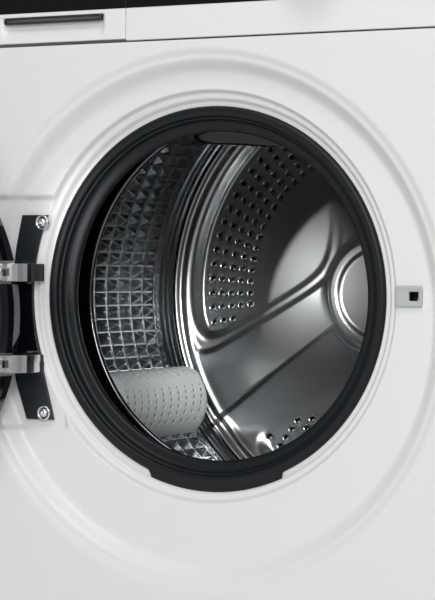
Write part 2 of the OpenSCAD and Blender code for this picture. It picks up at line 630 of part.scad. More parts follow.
strap_x = [12, 46];   // strap's flat part from the hinge axis
strap_y = [-6, -2];
module hinge_straps() color("silver") swung() for (z = arm_z) difference() {
    union() {
        translate([-hinge_x, hy, axis_z + z + tine + 0.3]) linear_extrude(arm_h - 2 * tine - 0.6) {
            circle(r = barrel_r);
            polygon([[0, -barrel_r], [strap_x[0] + 1, strap_y[0]], [strap_x[0] + 1, strap_y[1]], [4, 3]]);
        }
        translate([-hinge_x, hy, 0])
            box([strap_x[0], strap_y[0], axis_z + z], [strap_x[1], strap_y[1], axis_z + z + arm_h]);
    }
    rod_z(-hinge_x, hy, pin_r + run_gap, axis_z + z - 1, axis_z + z + arm_h + 1);
}

glass_r = 150;      // radius of the glass bowl's flange seat
trim_t = 8;         // thickness of the front trim ring
module door_frame() color("#101318") swung() difference() {
    round_y(dish_z) polygon([[glass_r + 6, door_y[0] + trim_t], [glass_r + 2, door_y[0] + 2], [glass_r + 6, door_y[0]],
        [door_r - 10, door_y[0]], [door_r - 2, door_y[0] + 3], [door_r, door_y[0] + trim_t]]);
    arm_notches(door_y[0] - 1, door_y[0] + trim_t + 1, 8);
}

module door_inner_ring() color("#1a222c") swung() difference() {
    round_y(dish_z) polygon([[glass_r + 2, door_y[0] + trim_t], [door_r, door_y[0] + trim_t],
        [door_r, door_y[1] - 9], [door_r - 3, door_y[1] - 3], [door_r - 9, door_y[1]],
        [glass_r + 8, door_y[1]], [glass_r + 8, door_y[0] + trim_t + 14], [glass_r + 2, door_y[0] + trim_t + 14]]);
    arm_notches(door_y[0], door_y[1] + 1, 8);
    // room for the arms' bends and the seats of the straps
    arm_notches(hy + strap_y[1], door_y[1] + 1, bend_r + arm_t / 2 + 4);
    arm_notches(hy + strap_y[0] - e, hy + strap_y[1], strap_x[1]);
}

module door_glass() color("lightblue") swung() union() {
    round_y(dish_z) polygon([[0, door_y[0] + 4], [glass_r + 2, door_y[0] + 4], [glass_r + 2, door_y[0] + 8], [0, door_y[0] + 8]]);
    // bowl that reaches into the gasket, round the drum axis
    round_y(dish_z + 4) polygon([[0, door_y[1] + 64], [90, door_y[1] + 62], [112, door_y[1] + 55],
        [120, door_y[1] + 44], [134, door_y[1] + 20], [138, door_y[1]], [148, door_y[1] - 6], [151, door_y[1] - 6],
        [151, door_y[1] - 10], [146, door_y[1] - 10], [133, door_y[1] - 4], [129, door_y[1] + 18],
        [115, door_y[1] + 42], [108, door_y[1] + 51], [89, door_y[1] + 57], [0, door_y[1] + 59]]);
}

module door_hook() color("silver") swung()
    box([latch_x - 3.5, door_y[1], axis_z + latch_z - 2.5], [latch_x + 0.5, fy + dish_depth + 14, axis_z + latch_z + 2.5]);

module door_lock() color("white") difference() {
    union() {
        box([latch_x - 17, fy + dish_depth - 2, axis_z + latch_z - 9], [latch_x + 8, fy + dish_depth, axis_z + latch_z + 9]);
        box([latch_x - 16, fy + dish_depth + sheet, axis_z - 30], [latch_x + 10, fy + dish_depth + 26, axis_z + 22]);
    }
    box([latch_x - slot_w / 2, fy, axis_z + latch_z - slot_h / 2],
        [latch_x + slot_w / 2, fy + dish_depth + 20, axis_z + latch_z + slot_h / 2]);
}

cabinet_shell();
base_frame();
front_panel();
kick_panel();
rear_cover();
worktop();
top_brace();
fascia();
display_glass();
dispenser_housing();
inlet_valve();
drain_pump();
drain_hose();
cord_gland();
door_lock();
hinge_plate();
hinge_cover();
hinge_lugs();
hinge_pins();
damper_cylinders();
tub_front();
tub_rear();
upper_counterweight();
front_counterweight();
heater();
bearings();
motor_housing();
drive_belt();
damper_rods();
gasket();
suspension_springs();
sump_hose();
spray_nozzle();
drum_shell();
drum_front();
drum_back();
lifter(0);  // lifter_1
lifter(1);  // lifter_2
lifter(2);  // lifter_3
drum_spider();
drum_pulley();
motor_pulley();
door_frame();
door_glass();
door_inner_ring();
hinge_straps();
door_hook();
drawer_front();
drawer_glass();
drawer_tray();
drawer_handle();
programme_knob();
button(power_x);  // power_button
button(start_x);  // start_button
filter_flap();
filter_plug();
foot(0);  // foot_1
foot(1);  // foot_2
foot(2);  // foot_3
foot(3);  // foot_4
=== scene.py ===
# Front load washing machine with its door swung open, on a pale studio floor.
import json
import bpy
import numpy as np
from mathutils import Matrix, Vector


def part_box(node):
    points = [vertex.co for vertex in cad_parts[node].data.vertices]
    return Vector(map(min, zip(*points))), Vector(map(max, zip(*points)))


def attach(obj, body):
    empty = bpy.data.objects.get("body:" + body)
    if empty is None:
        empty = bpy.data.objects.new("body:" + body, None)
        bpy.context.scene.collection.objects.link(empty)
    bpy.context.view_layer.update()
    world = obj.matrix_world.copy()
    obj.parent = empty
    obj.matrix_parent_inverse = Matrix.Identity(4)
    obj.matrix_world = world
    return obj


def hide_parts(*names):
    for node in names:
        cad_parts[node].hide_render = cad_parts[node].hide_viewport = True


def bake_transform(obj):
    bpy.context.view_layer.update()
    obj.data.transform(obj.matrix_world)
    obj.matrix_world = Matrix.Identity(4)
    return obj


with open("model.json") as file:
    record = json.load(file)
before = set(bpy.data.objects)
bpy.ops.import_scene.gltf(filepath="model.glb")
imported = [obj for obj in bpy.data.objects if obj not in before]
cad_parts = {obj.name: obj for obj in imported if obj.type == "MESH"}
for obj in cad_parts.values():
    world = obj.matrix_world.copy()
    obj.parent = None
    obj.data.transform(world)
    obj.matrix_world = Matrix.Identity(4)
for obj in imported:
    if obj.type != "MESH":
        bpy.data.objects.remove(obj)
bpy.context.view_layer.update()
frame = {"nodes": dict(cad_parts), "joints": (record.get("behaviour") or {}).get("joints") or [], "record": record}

MM = 0.001
TAU = 2 * np.pi


# ---------------------------------------------------------------- places from the frame
def corners(node):
    """Lowest and highest corner of a CAD node at rest, in millimetres."""
    low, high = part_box(node)
    return np.array(low) / MM, np.array(high) / MM


PANEL_LO, PANEL_HI = corners("front_panel")
FACE = PANEL_LO[1]                                   # the front panel's face
DRUM_LO, DRUM_HI = corners("drum_shell")
AXIS_Z = (DRUM_LO[2] + DRUM_HI[2]) / 2               # drum axis
DRUM_R = (DRUM_HI[0] - DRUM_LO[0]) / 2 - 1.2         # inner radius of the drum wall
BACK_FACE = corners("drum_back")[1][1]               # rear side of the drum's back plate
HINGE = np.array(next(j for j in frame["joints"] if j["name"] == "door_swing")["pos_m"]) / MM
DOOR_OPEN = np.radians(168)                          # the door's angle at rest
DISH_Z = AXIS_Z - 20                                 # centre of the dish and of the door
DISH_R = 240
DISH_DEPTH = 16
DISH_LIP = 3.2                                       # depth of the soft lip at the dish's edge
STEP_DEPTH = 28
PANEL_ROLL = 1.5                                     # radius of the panel's rolled edge
LATCH_Z = AXIS_Z + 2


# ---------------------------------------------------------------- meshes from arrays
def spline(points, count, closed=False):
    """A Catmull-Rom curve through the points, sampled evenly in its parameter."""
    p = np.array(points, float)
    n = len(p)
    spans = n if closed else n - 1
    t = np.linspace(0, spans, count, endpoint=not closed)
    i = np.minimum(t.astype(int), spans - 1)
    f = (t - i)[:, None]
    at = (lambda k: p[k % n]) if closed else (lambda k: p[np.clip(k, 0, n - 1)])
    a, b, c, d = at(i - 1), at(i), at(i + 1), at(i + 2)
    return 0.5 * (2 * b + (c - a) * f + (2 * a - 5 * b + 4 * c - d) * f**2
                  + (3 * b - a - 3 * c + d) * f**3)


def rounded(points, radius, steps=4, closed=True):
    """An outline whose corners are replaced by short quadratic arcs that start radius before each corner."""
    p = np.array(points, float)
    before, after = np.roll(p, 1, 0), np.roll(p, -1, 0)
    back, ahead = before - p, after - p
    lb = np.linalg.norm(back, axis=1, keepdims=True)
    la = np.linalg.norm(ahead, axis=1, keepdims=True)
    r = np.minimum(radius, 0.45 * np.minimum(lb, la))
    a, b = p + back / np.maximum(lb, 1e-9) * r, p + ahead / np.maximum(la, 1e-9) * r
    t = np.linspace(0, 1, steps + 1)[None, :, None]
    arcs = (1 - t)**2 * a[:, None] + 2 * t * (1 - t) * p[:, None] + t**2 * b[:, None]
    if not closed:
        arcs[0], arcs[-1] = p[0], p[-1]
    return arcs.reshape(-1, p.shape[1])


def grid_faces(nu, nv, wrap_u=False, wrap_v=False):
    """Quads of a grid of nu by nv points, joined end to end where wrapped."""
    u, v = np.meshgrid(np.arange(nu if wrap_u else nu - 1),
                       np.arange(nv if wrap_v else nv - 1), indexing="ij")
    u, v = u.ravel(), v.ravel()
    u2, v2 = (u + 1) % nu, (v + 1) % nv
    return np.stack([u * nv + v, u2 * nv + v, u2 * nv + v2, u * nv + v2], 1)


def volume_sign(points, faces):
    """Sign of the volume that the faces enclose, from the sum of their cones to the origin."""
    a, b, c = points[faces[:, 0]], points[faces[:, 1]], points[faces[:, 2]]
    d = points[faces[:, 3]]
    cones = np.einsum("ij,ij->i", a, np.cross(b, c)) + np.einsum("ij,ij->i", a, np.cross(c, d))
    return np.sign(cones.sum())


def piece(name, points, faces, body, material, node=None, toward=None, thick=0.0, pit_shade_mask=None):
    """A mesh of quads from points in millimetres. Closed shapes are turned outwards by their volume, open
    sheets by the side that faces the point toward; thick gives a sheet its wall, behind that side."""
    points, faces = np.asarray(points, float).reshape(-1, 3), np.asarray(faces, int)
    if toward is None:
        if volume_sign(points - points.mean(0), faces) < 0:
            faces = faces[:, ::-1]
    else:
        a, b, c = (points[faces[:, k]] for k in (0, 1, 2))
        normal = np.cross(b - a, c - a)
        if np.einsum("ij,ij->", normal, np.asarray(toward) - a) < 0:
            faces = faces[:, ::-1]
    mesh = bpy.data.meshes.new(name)
    mesh.vertices.add(len(points))
    mesh.vertices.foreach_set("co", (points * MM).astype(np.float32).ravel())
    mesh.loops.add(faces.size)
    mesh.loops.foreach_set("vertex_index", faces.astype(np.int32).ravel())
    mesh.polygons.add(len(faces))
    mesh.polygons.foreach_set("loop_start", np.arange(0, faces.size, 4, dtype=np.int32))
    mesh.polygons.foreach_set("use_smooth", np.ones(len(faces), bool))
    # a per-point value that the paddle material reads to paint shade into the dimples
    if pit_shade_mask is not None:
        depth = mesh.attributes.new("pit_shade_mask", "FLOAT", "POINT")
        depth.data.foreach_set("value", pit_shade_mask.astype(np.float32).ravel())
    mesh.update()
    mesh.validate()
    obj = bpy.data.objects.new(name, mesh)
    bpy.context.scene.collection.objects.link(obj)
    mesh.materials.append(material)
    if thick:
        walled(obj, thick)
    if body:
        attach(obj, body)
    if node:
        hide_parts(node)
    return obj


def welded(obj, distance=0.01):
    """Joins the points of a piece that lie within a distance in millimetres."""
    obj.modifiers.new("weld", "WELD").merge_threshold = distance * MM
    return obj


def walled(obj, thick):
    """Gives a sheet its thickness, behind the side that shows."""
    wall = obj.modifiers.new("wall", "SOLIDIFY")
    wall.thickness, wall.offset = thick * MM, -1
    return obj


def soften(obj, width, angle=35):
    """Rounds the sharp edges of a piece by width millimetres."""
    welded(obj)
    edge = obj.modifiers.new("edge", "BEVEL")
    edge.width, edge.segments, edge.limit_method = width * MM, 3, "ANGLE"
    edge.angle_limit = np.radians(angle)
    edge.harden_normals = True


def lathe(outline, z=AXIS_Z, turns=256, closed=True, x=0.0):
    """Points and faces of an outline of [radius, y] revolved round the line along Y at (x, z)."""
    o = np.array(outline, float)
    a = np.linspace(0, TAU, turns, endpoint=False)[:, None]
    points = np.stack([x + o[:, 0] * np.cos(a), np.broadcast_to(o[:, 1], (turns, len(o))),
                       z + o[:, 0] * np.sin(a)], -1)
    return points.reshape(-1, 3), grid_faces(turns, len(o), True, closed)


def tube(path, radius, sides=12, closed=False):
    """A round tube carried along a path, its rings turned by the least amount from one to the next."""
    p = np.array(path, float)
    t = np.gradient(p, axis=0)
    if closed:
        t = np.roll(p, -1, 0) - np.roll(p, 1, 0)
    t /= np.linalg.norm(t, axis=1, keepdims=True)
    ref = np.array([0.0, 0.0, 1.0]) if abs(t[0, 2]) < 0.8 else np.array([0.0, 1.0, 0.0])
    n = ref - t * (t @ ref)[:, None]
    n /= np.linalg.norm(n, axis=1, keepdims=True)
    b = np.cross(t, n)
    a = np.linspace(0, TAU, sides, endpoint=False)
    r = np.broadcast_to(np.asarray(radius, float), (len(p),))[:, None, None]
    rings = p[:, None] + r * (n[:, None] * np.cos(a)[None, :, None] + b[:, None] * np.sin(a)[None, :, None])
    return rings.reshape(-1, 3), grid_faces(len(p), sides, closed, True)


def capped(points, faces, rings, sides):
    """Closes a tube's two ends with fans of quads to their middle points."""
    mids = np.array([points[:sides].mean(0), points[-sides:].mean(0)])
    k = np.arange(0, sides, 2)
    first = np.stack([k, (k + 1) % sides, (k + 2) % sides, np.full(len(k), len(points))], 1)
    last = (rings - 1) * sides
    second = np.stack([last + (k + 2) % sides, last + (k + 1) % sides, last + k,
                       np.full(len(k), len(points) + 1)], 1)
    return np.vstack([points, mids]), np.vstack([faces, first, second])


def merge(parts):
    """Several sets of points and faces as one."""
    points, faces, start = [], [], 0
    for p, f in parts:
        points.append(p)
        faces.append(np.asarray(f) + start)
        start += len(p)
    return np.vstack(points), np.vstack(faces)


def smoothstep(x):
    """Runs from 0 to 1 with level ends."""
    t = np.clip(x, 0, 1)
    return t * t * (3 - 2 * t)


# ---------------------------------------------------------------- materials
def linear(code):
    """Linear colour from an sRGB hex value."""
    c = np.array([int(code[i:i + 2], 16) for i in (0, 2, 4)]) / 255
    c = np.where(c <= 0.04045, c / 12.92, ((c + 0.055) / 1.055) ** 2.4)
    return (*c, 1.0)


def add(tree, kind, settings=None, **links):
    """Adds one shader node: settings are its properties or socket values, links are the sockets it reads."""
    node = tree.nodes.new("ShaderNode" + kind)
    for key, value in (settings or {}).items():
        if key in node.inputs:
            node.inputs[key].default_value = value
        else:
            setattr(node, key, value)
    for key, source in links.items():
        name = key.replace("_", " ")
        socket = node.inputs[int(key[1:])] if key[0] == "i" and key[1:].isdigit() else node.inputs[name]
        tree.links.new(source, socket)
    return node


def surface(name, colour, roughness, metallic=0.0, ior=1.45, **sockets):
    """A material with one Principled shader and its uniform values."""
    material = bpy.data.materials.new(name)
    material.use_nodes = True
    tree = material.node_tree
    shader = tree.nodes["Principled BSDF"]
    values = {"Base Color": linear(colour), "Roughness": roughness, "Metallic": metallic, "IOR": ior}
    values.update({key.replace("_", " "): value for key, value in sockets.items()})
    for key, value in values.items():
        shader.inputs[key].default_value = value
    return material, tree, shader


def grain(tree, shader, size_mm, bump_mm, rough=None, stretch=(1, 1, 1), detail=3.0):
    """Fine noise of the given grain size that moves the surface by bump_mm and varies the roughness."""
    place = add(tree, "TexCoord")
    scale = add(tree, "Mapping", {"Scale": stretch}, Vector=place.outputs["Object"])
    noise = add(tree, "TexNoise", {"Scale": 1 / (size_mm * MM), "Detail": detail},
                Vector=scale.outputs["Vector"])
    bump = add(tree, "Bump", {"Strength": 1.0, "Distance": bump_mm * MM}, Height=noise.outputs["Fac"])
    tree.links.new(bump.outputs["Normal"], shader.inputs["Normal"])
    if rough:
        spread = add(tree, "MapRange", {"To Min": rough[0], "To Max": rough[1]},
                     Value=noise.outputs["Fac"])
        tree.links.new(spread.outputs["Result"], shader.inputs["Roughness"])
    return noise


def two_tones(tree, shader, share, low, high):
    """Colours the shader from low to high, two sRGB hex values, by the socket share."""
    mix = add(tree, "Mix", {"data_type": "RGBA"})
    factor, colour_a, colour_b, result = mix.inputs[0], mix.inputs[6], mix.inputs[7], mix.outputs[2]
    colour_a.default_value, colour_b.default_value = linear(low), linear(high)
    tree.links.new(share, factor)
    tree.links.new(result, shader.inputs["Base Color"])


def white_enamel():
    """Powder-coated sheet steel: even white, a faint orange peel that softens the highlights."""
    m, t, s = surface("white_enamel", "ececec", 0.34, ior=1.5)
    grain(t, s, 1.6, 0.006, (0.30, 0.40))
    return m


def white_abs():
    """Moulded ABS: white a touch warmer than the enamel, with a fine spark-eroded grain."""
    m, t, s = surface("white_abs", "eeeeed", 0.38, ior=1.53)
    grain(t, s, 0.5, 0.01, (0.33, 0.45))
    return m


def zinc_sheet():
    """Galvanised sheet: grey with broad spangles that differ in shine."""
    m, t, s = surface("zinc_sheet", "b4b8ba", 0.4, 1.0)
    place = add(t, "TexCoord")
    cells = add(t, "TexVoronoi", {"Scale": 1 / (9 * MM)}, Vector=place.outputs["Object"])
    tone = add(t, "MapRange", {"To Min": 0.28, "To Max": 0.5}, Value=cells.outputs["Color"])
    t.links.new(tone.outputs["Result"], s.inputs["Roughness"])
    return m


def rolled_steel(name="rolled_steel", roughness=(0.14, 0.24), colour="606366"):
    """Bright-rolled stainless steel: a soft mirror with faint drawing lines along the drum's turn. The default
    colour 606366 is a darkened grey, painted shade for the drum's dim inside.
    """
    m, t, s = surface(name, colour, 0.2, 1.0)
    grain(t, s, 0.7, 0.0012, roughness, stretch=(1, 0.12, 1))
    return m


def chrome():
    """Polished nickel-chrome plate: a clear mirror with only the slightest haze."""
    m, t, s = surface("chrome_plate", "e6e7e8", 0.2, 1.0)
    grain(t, s, 2.0, 0.002, (0.16, 0.28))
    return m


def cast_aluminium():
    """Die-cast aluminium: dull grey with a pebbly skin."""
    m, t, s = surface("cast_aluminium", "9fa1a3", 0.5, 1.0)
    grain(t, s, 1.2, 0.05, (0.42, 0.6))
    return m


def anthracite():
    """Satin anthracite paint on steel: near black, with a broad dim highlight."""
    m, t, s = surface("anthracite_paint", "23272b", 0.36, ior=1.5)
    grain(t, s, 0.6, 0.01, (0.32, 0.44))
    return m


def black_gloss():
    """High-gloss black ABS: deep blue-black with clear reflections."""
    m, t, s = surface("black_gloss_abs", "0b0e14", 0.07, ior=1.53)
    grain(t, s, 6.0, 0.004, (0.05, 0.10))
    return m


def smoked_glass():
    """Back-painted glass of the control band: black, mirror-smooth, hardly any texture."""
    m, t, s = surface("smoked_glass", "08090b", 0.05, ior=1.52)
    grain(t, s, 30.0, 0.004, (0.03, 0.07))
    return m


def bowl_glass():
    """Pressed borosilicate glass: clear with a slight waviness from the mould."""
    m, t, s = surface("bowl_glass", "f2f7f7", 0.02, ior=1.47, Transmission_Weight=1.0)
    grain(t, s, 22.0, 0.05)
    return m


def black_rubber():
    """Moulded EPDM rubber: charcoal with a soft sheen and a faint bloom."""
    m, t, s = surface("epdm_rubber", "15181b", 0.42, ior=1.5, Specular_IOR_Level=0.28)
    noise = grain(t, s, 1.5, 0.02, (0.36, 0.52))
    two_tones(t, s, noise.outputs["Fac"], "111417", "1a1e21")
    return m


def grey_moulding(name="grey_pp", colour="b9bdbd", roughness=(0.42, 0.52)):
    """Matt polypropylene moulding with a fine even grain."""
    m, t, s = surface(name, colour, 0.46, ior=1.49)
    grain(t, s, 0.8, 0.015, roughness)
    return m


def pitted_moulding():
    """The paddles' light grey polypropylene; the dimples are coloured dark grey inside, painted shade for their
    hollows.
    """
    m, t, s = surface("paddle_pp", "dfe3e3", 0.42, ior=1.49)
    grain(t, s, 0.8, 0.015, (0.38, 0.48))
    # painted shade: the dimple depth from the mesh darkens the colour towards 3c4042 inside each dimple
    pit_shade = add(t, "Attribute", {"attribute_name": "pit_shade_mask"})
    two_tones(t, s, pit_shade.outputs["Fac"], "dfe3e3", "3c4042")
    return m


def concrete():
    """Cast concrete: mottled grey with open pores."""
    m, t, s = surface("cast_concrete", "9b9893", 0.85)
    noise = grain(t, s, 6.0, 0.5, (0.75, 0.95), detail=8.0)
    ramp = add(t, "MapRange", {"To Min": 0.3, "To Max": 0.42}, Value=noise.outputs["Fac"])
    t.links.new(ramp.outputs["Result"], s.inputs["Base Color"])
    return m


# the steel from rolled_steel() keeps its darkened default grey, painted shade for the drum's dim inside; the satin
# steel below is the same stainless in its lighter grey
ENAMEL, ABS, ZINC, SHADED_STEEL = white_enamel(), white_abs(), zinc_sheet(), rolled_steel()
SATIN = rolled_steel("satin_steel", (0.26, 0.34), "b4b6b7")
CHROME, CAST, DARK, GLOSS = chrome(), cast_aluminium(), anthracite(), black_gloss()
BAND, BOWL, RUBBER, CONCRETE = smoked_glass(), bowl_glass(), black_rubber(), concrete()
GREY = grey_moulding()
PADDLE = pitted_moulding()
TUB = grey_moulding("filled_pp", "c9cbca", (0.5, 0.62))

FINISH = {"white_enamel": ENAMEL, "galvanised": ZINC, "steel": SHADED_STEEL, "chrome": CHROME, "cast_metal": CAST,
          "dark_metal": DARK, "white_plastic": ABS, "grey_plastic": GREY, "dark_plastic": GLOSS,
          "tub_plastic": TUB, "black_glass": BAND, "bowl_glass": BOWL, "gasket_rubber": RUBBER,
          "concrete": CONCRETE}
for part in frame["record"]["subparts"]:
    node_object = frame["nodes"][part["node"]]
    for place in node_object.material_slots:
        place.material = FINISH[part["material_slot"]]

# rounded edges on the CAD pieces that show: node and edge radius in millimetres
for node_name, radius in {"worktop": 3.0, "fascia": 0.8, "kick_panel": 1.0,
                          "cabinet_shell": 0.5, "filter_flap": 0.8, "door_lock": 0.8,
                          "rear_cover": 0.5, "power_button": 0.8, "start_button": 0.8,
                          "drawer_tray": 0.7, "hinge_lugs": 0.8, "hinge_straps": 0.8,
                          "hinge_plate": 0.8, "hinge_cover": 0.5, "hinge_pins": 0.4,
                          "foot_1": 1.0, "foot_2": 1.0, "foot_3": 1.0, "foot_4": 1.0}.items():
    soften(frame["nodes"][node_name], radius)


# ---------------------------------------------------------------- front panel
def ring_points(angle, radius, z):
    """Points of a circle in the panel's plane, as x and z."""
    return radius * np.cos(angle), z + radius * np.sin(angle)


def panel_depth(x, z):
    """Depth of the pressed panel: the sloping side of the dish, its flat floor, the hinge pocket and the
    step round the porthole, each joined by a soft S."""
    rd = np.hypot(x, z - DISH_Z)
    rp = np.hypot(x, z - AXIS_Z)
    lip = DISH_LIP * smoothstep((DISH_R - rd) / 9)
    slope = (DISH_DEPTH - DISH_LIP) * smoothstep((231 - rd) / 15)
    pocket = (smoothstep((z - AXIS_Z + 126) / 6) * smoothstep((AXIS_Z + 92 - z) / 6)
              * smoothstep((-140 - x) / 8) * smoothstep((x + 217) / 6))
    stairs = 0.55 * smoothstep((183.5 - rp) / 4) + 0.45 * smoothstep((176.5 - rp) / 4)
    step = (STEP_DEPTH - DISH_DEPTH) * stairs
    return lip + slope + np.maximum(4 * pocket, step)


def front_panel():
    """Rings run from the porthole's lip through the dish out to the panel's rectangle, and over its edge."""
    fine = np.radians(np.linspace(136, 226, 420, endpoint=False))
    rest = np.radians(np.linspace(226, 496, 420, endpoint=False))
    a = np.concatenate([fine, rest])[:, None]
    radius = np.concatenate([np.linspace(163, 172, 3), np.linspace(172.6, 184.5, 13)])
    x1, z1 = ring_points(a, radius[None, :], AXIS_Z)
    blend = np.linspace(0, 1, 26)[None, 1:]
    x2, z2 = ring_points(a, 184.5 + (214 - 184.5) * blend, AXIS_Z + (DISH_Z - AXIS_Z) * blend)
    x3, z3 = ring_points(a, np.linspace(215, 242, 19)[None, :], DISH_Z)
    # out to the rectangle with small corner radii
    hx = (PANEL_HI[0] - PANEL_LO[0]) / 2 - PANEL_ROLL
    lo, hi = PANEL_LO[2] + PANEL_ROLL, PANEL_HI[2] - PANEL_ROLL
    dx, dz = np.cos(a), np.sin(a)
    tx = hx / np.maximum(np.abs(dx), 1e-9)
    tz = np.where(dz > 0, (hi - DISH_Z) / np.maximum(dz, 1e-9), (lo - DISH_Z) / np.minimum(dz, -1e-9))
    reach = (tx**-24 + tz**-24) ** (-1 / 24)
    out = np.array([0.04, 0.2, 0.5, 0.8, 1.0])[None, :]
    r4 = 242 + (reach - 242) * out
    x4, z4 = ring_points(a, r4, DISH_Z)
    x = np.concatenate([x1, x2, x3, x4], 1)
    z = np.concatenate([z1, z2, z3, z4], 1)
    y = FACE + panel_depth(x, z)
    # rolled edge and side return
    roll = np.array([[0.6, 0.12], [1.15, 0.45], [PANEL_ROLL, PANEL_ROLL], [PANEL_ROLL, 28]])
    ex, ez = x4[:, -1:], z4[:, -1:]
    nx = np.where(tx < tz * 0.999, np.sign(dx), 0) + 0 * dx
    nz = np.where(tx < tz * 0.999, 0, np.sign(dz)) + 0 * dz
    x5, z5 = ex + nx * roll[None, :, 0], ez + nz * roll[None, :, 0]
    y5 = np.broadcast_to(FACE + roll[None, :, 1], x5.shape)
    points = np.stack([np.concatenate([x, x5], 1), np.concatenate([y, y5], 1),
                       np.concatenate([z, z5], 1)], -1)
    faces = grid_faces(points.shape[0], points.shape[1], True)
    points = points.reshape(-1, 3)
    mid = points[faces].mean(1)
    slot = (np.abs(mid[:, 0] - 195.5) < 8) & (np.abs(mid[:, 2] - LATCH_Z) < 5.5)
    piece("front_panel_pressing", points, faces[~slot], "cabinet", ENAMEL,
          node="front_panel", toward=(0, -5000, AXIS_Z), thick=1.0)


front_panel()


# ---------------------------------------------------------------- gasket
def gasket():
    """A closed outline revolved round the drum axis: bead, groove, lip, throat and cuff, with a drip tab below."""
    outline = [(160.5, 25.2), (163, 24.2), (166.5, 24.4), (169, 26.6), (169.2, 30), (168.5, 34),
               (163, 38), (158, 43), (157, 47), (163, 52), (168, 55.5), (171, 52.5), (171, 50.3),
               (179.6, 50.3), (179.8, 59.6), (177.3, 59.8), (177.1, 54.2), (173.9, 54.2), (173.6, 66),
               (170.8, 66), (167.5, 60.5), (160, 54.5), (153, 49), (149.5, 45), (147.2, 41.5),
               (147, 38.6), (148.6, 36.2), (151.5, 35.2), (154.5, 34.6), (156.4, 33.2), (157.3, 31),
               (157.8, 29.2), (159.2, 28.6), (160, 27)]
    curve = spline(outline, 136, closed=True)
    curve[:, 1] += FACE
    points, faces = lathe(curve, turns=360)
    angle = np.arctan2(points[:, 2] - AXIS_Z, points[:, 0])
    r = np.hypot(points[:, 0], points[:, 2] - AXIS_Z)
    # the drip tab: the bead's outer edge reaches further out between two angles at the bottom
    x = points[:, 0]
    tab = smoothstep((x + 62) / 4) * smoothstep((72 - x) / 4) * (np.sin(angle) < -0.5)
    edge = smoothstep((r - 164) / 5) * (points[:, 1] < FACE + 27.6)
    grow = 1 + tab * edge * 5.5 / r
    points[:, 0] = points[:, 0] * grow
    points[:, 2] = AXIS_Z + (points[:, 2] - AXIS_Z) * grow
    bellows = piece("gasket_bellows", points, faces, None, RUBBER)
    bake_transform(bellows)
    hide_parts("gasket")


gasket()


# ---------------------------------------------------------------- drum
def drum_wall():
    """The cylinder wall pushed inwards in rows of small pyramids, with a row of oval rings, smooth ribs and
    the crimped seam at the back. Three sheets make the whole turn."""
    cells, rows, pitch = 110, 9, 24.5
    y0, y1 = FACE + 101, DRUM_HI[1] - 0.4
    last_row = FACE + 349
    first_row = last_row - rows * pitch
    for k in range(3):
        a = TAU * (np.linspace(k, k + 1, cells * 10 // 3 + 1) / 3)[:, None]
        y = np.concatenate([np.linspace(y0, first_row, 6),
                            np.linspace(first_row, last_row, rows * 13 + 1)[1:],
                            np.linspace(last_row, y1, 60)[1:]])[None, :]
        u = np.mod(a * cells / TAU, 1)
        v = np.mod((y - first_row) / pitch, 1)
        inside = (y > first_row) & (y < last_row)
        # a pyramid whose peak leans to the back of its cell
        peak = np.minimum(np.minimum(u, 1 - u) / 0.5, np.where(v < 0.66, v / 0.66, (1 - v) / 0.34))
        bump = 3.6 * peak * inside
        # oval rings between the pyramids and the ribs
        past = y - FACE - 356
        ring = np.hypot((u - 0.5) * TAU * DRUM_R / cells / 4.6, past / 3.0)
        bump = bump + 0.9 * np.exp(-((ring - 1) / 0.28) ** 2) * (np.abs(past) < 6)
        # ribs round the back
        for centre, height, width in ((366, 2.2, 3.2), (377, 1.6, 2.6), (388, 2.4, 3.4), (399, 1.4, 2.4)):
            bump = bump + height * np.exp(-((y - FACE - centre) / width) ** 2)
        # the crimp: a sharp groove before the back plate
        bump = bump - 1.0 * np.exp(-((y - FACE - 408) / 1.2) ** 2) + 2.2 * smoothstep((y - FACE - 409) / 2)
        r = DRUM_R + 0.5 - bump
        points = np.stack([r * np.cos(a), np.broadcast_to(y, r.shape), AXIS_Z + r * np.sin(a)], -1)
        # the wall takes the darkened steel, painted shade
        piece(f"drum_wall_{k + 1}", points, grid_faces(*r.shape), "drum", SHADED_STEEL,
              node="drum_shell" if k == 0 else None, toward=(0, 0, AXIS_Z), thick=0.6)


def drum_rim():
    """The front ring: a rolled bright edge round the mouth, a shallow cone and the seam to the wall."""
    t = np.linspace(-0.5, 1.0, 14) * np.pi
    roll = np.stack([163.2 + 3.2 * -np.cos(t), FACE + 90.4 - 3.2 * np.sin(t)], 1)[::-1]
    outer = spline([(166.5, FACE + 90.5), (178, FACE + 92), (205, FACE + 92), (228, FACE + 93),
                    (238, FACE + 98), (239.5, FACE + 102)], 40)
    inner = outer[::-1] + [0, 1.4]
    points, faces = lathe(np.vstack([roll, outer, inner]), turns=360)
    piece("drum_mouth_ring", points, faces, "drum", SHADED_STEEL, node="drum_front")


PETAL_AT = 149.3                      # degrees, the middle of the first petal
CELLS = 81                            # hole spacings in a turn
CELL_TURN, CELL_OUT = 360 / CELLS, 11.5  # spacing of the holes round and out, degrees and millimetres
ROW_ONE = 157                         # radius of the innermost row
SPOKE_AT = 209.3                      # degrees, the first of three spokes; a lifter stands before each


def soft_min(values, soft):
    """The smallest of several values with the corners between them rounded, and each one's share in it."""
    weight = np.exp(-np.stack(values) / soft)
    return -soft * np.log(weight.sum(0)), weight / weight.sum(0)


def petal(r, angle):
    """Distances into a petal from the spoke before it, the spoke behind it and the rim. Each spoke is
    flat; a broad slope falls from a crest on its one side, a stepped wall on the other."""
    turn = np.mod(angle - np.radians(SPOKE_AT), TAU / 3)
    before = r * np.sin(turn)
    behind = r * np.sin(TAU / 3 - turn)
    return before - 65, behind - 55, 214 - r


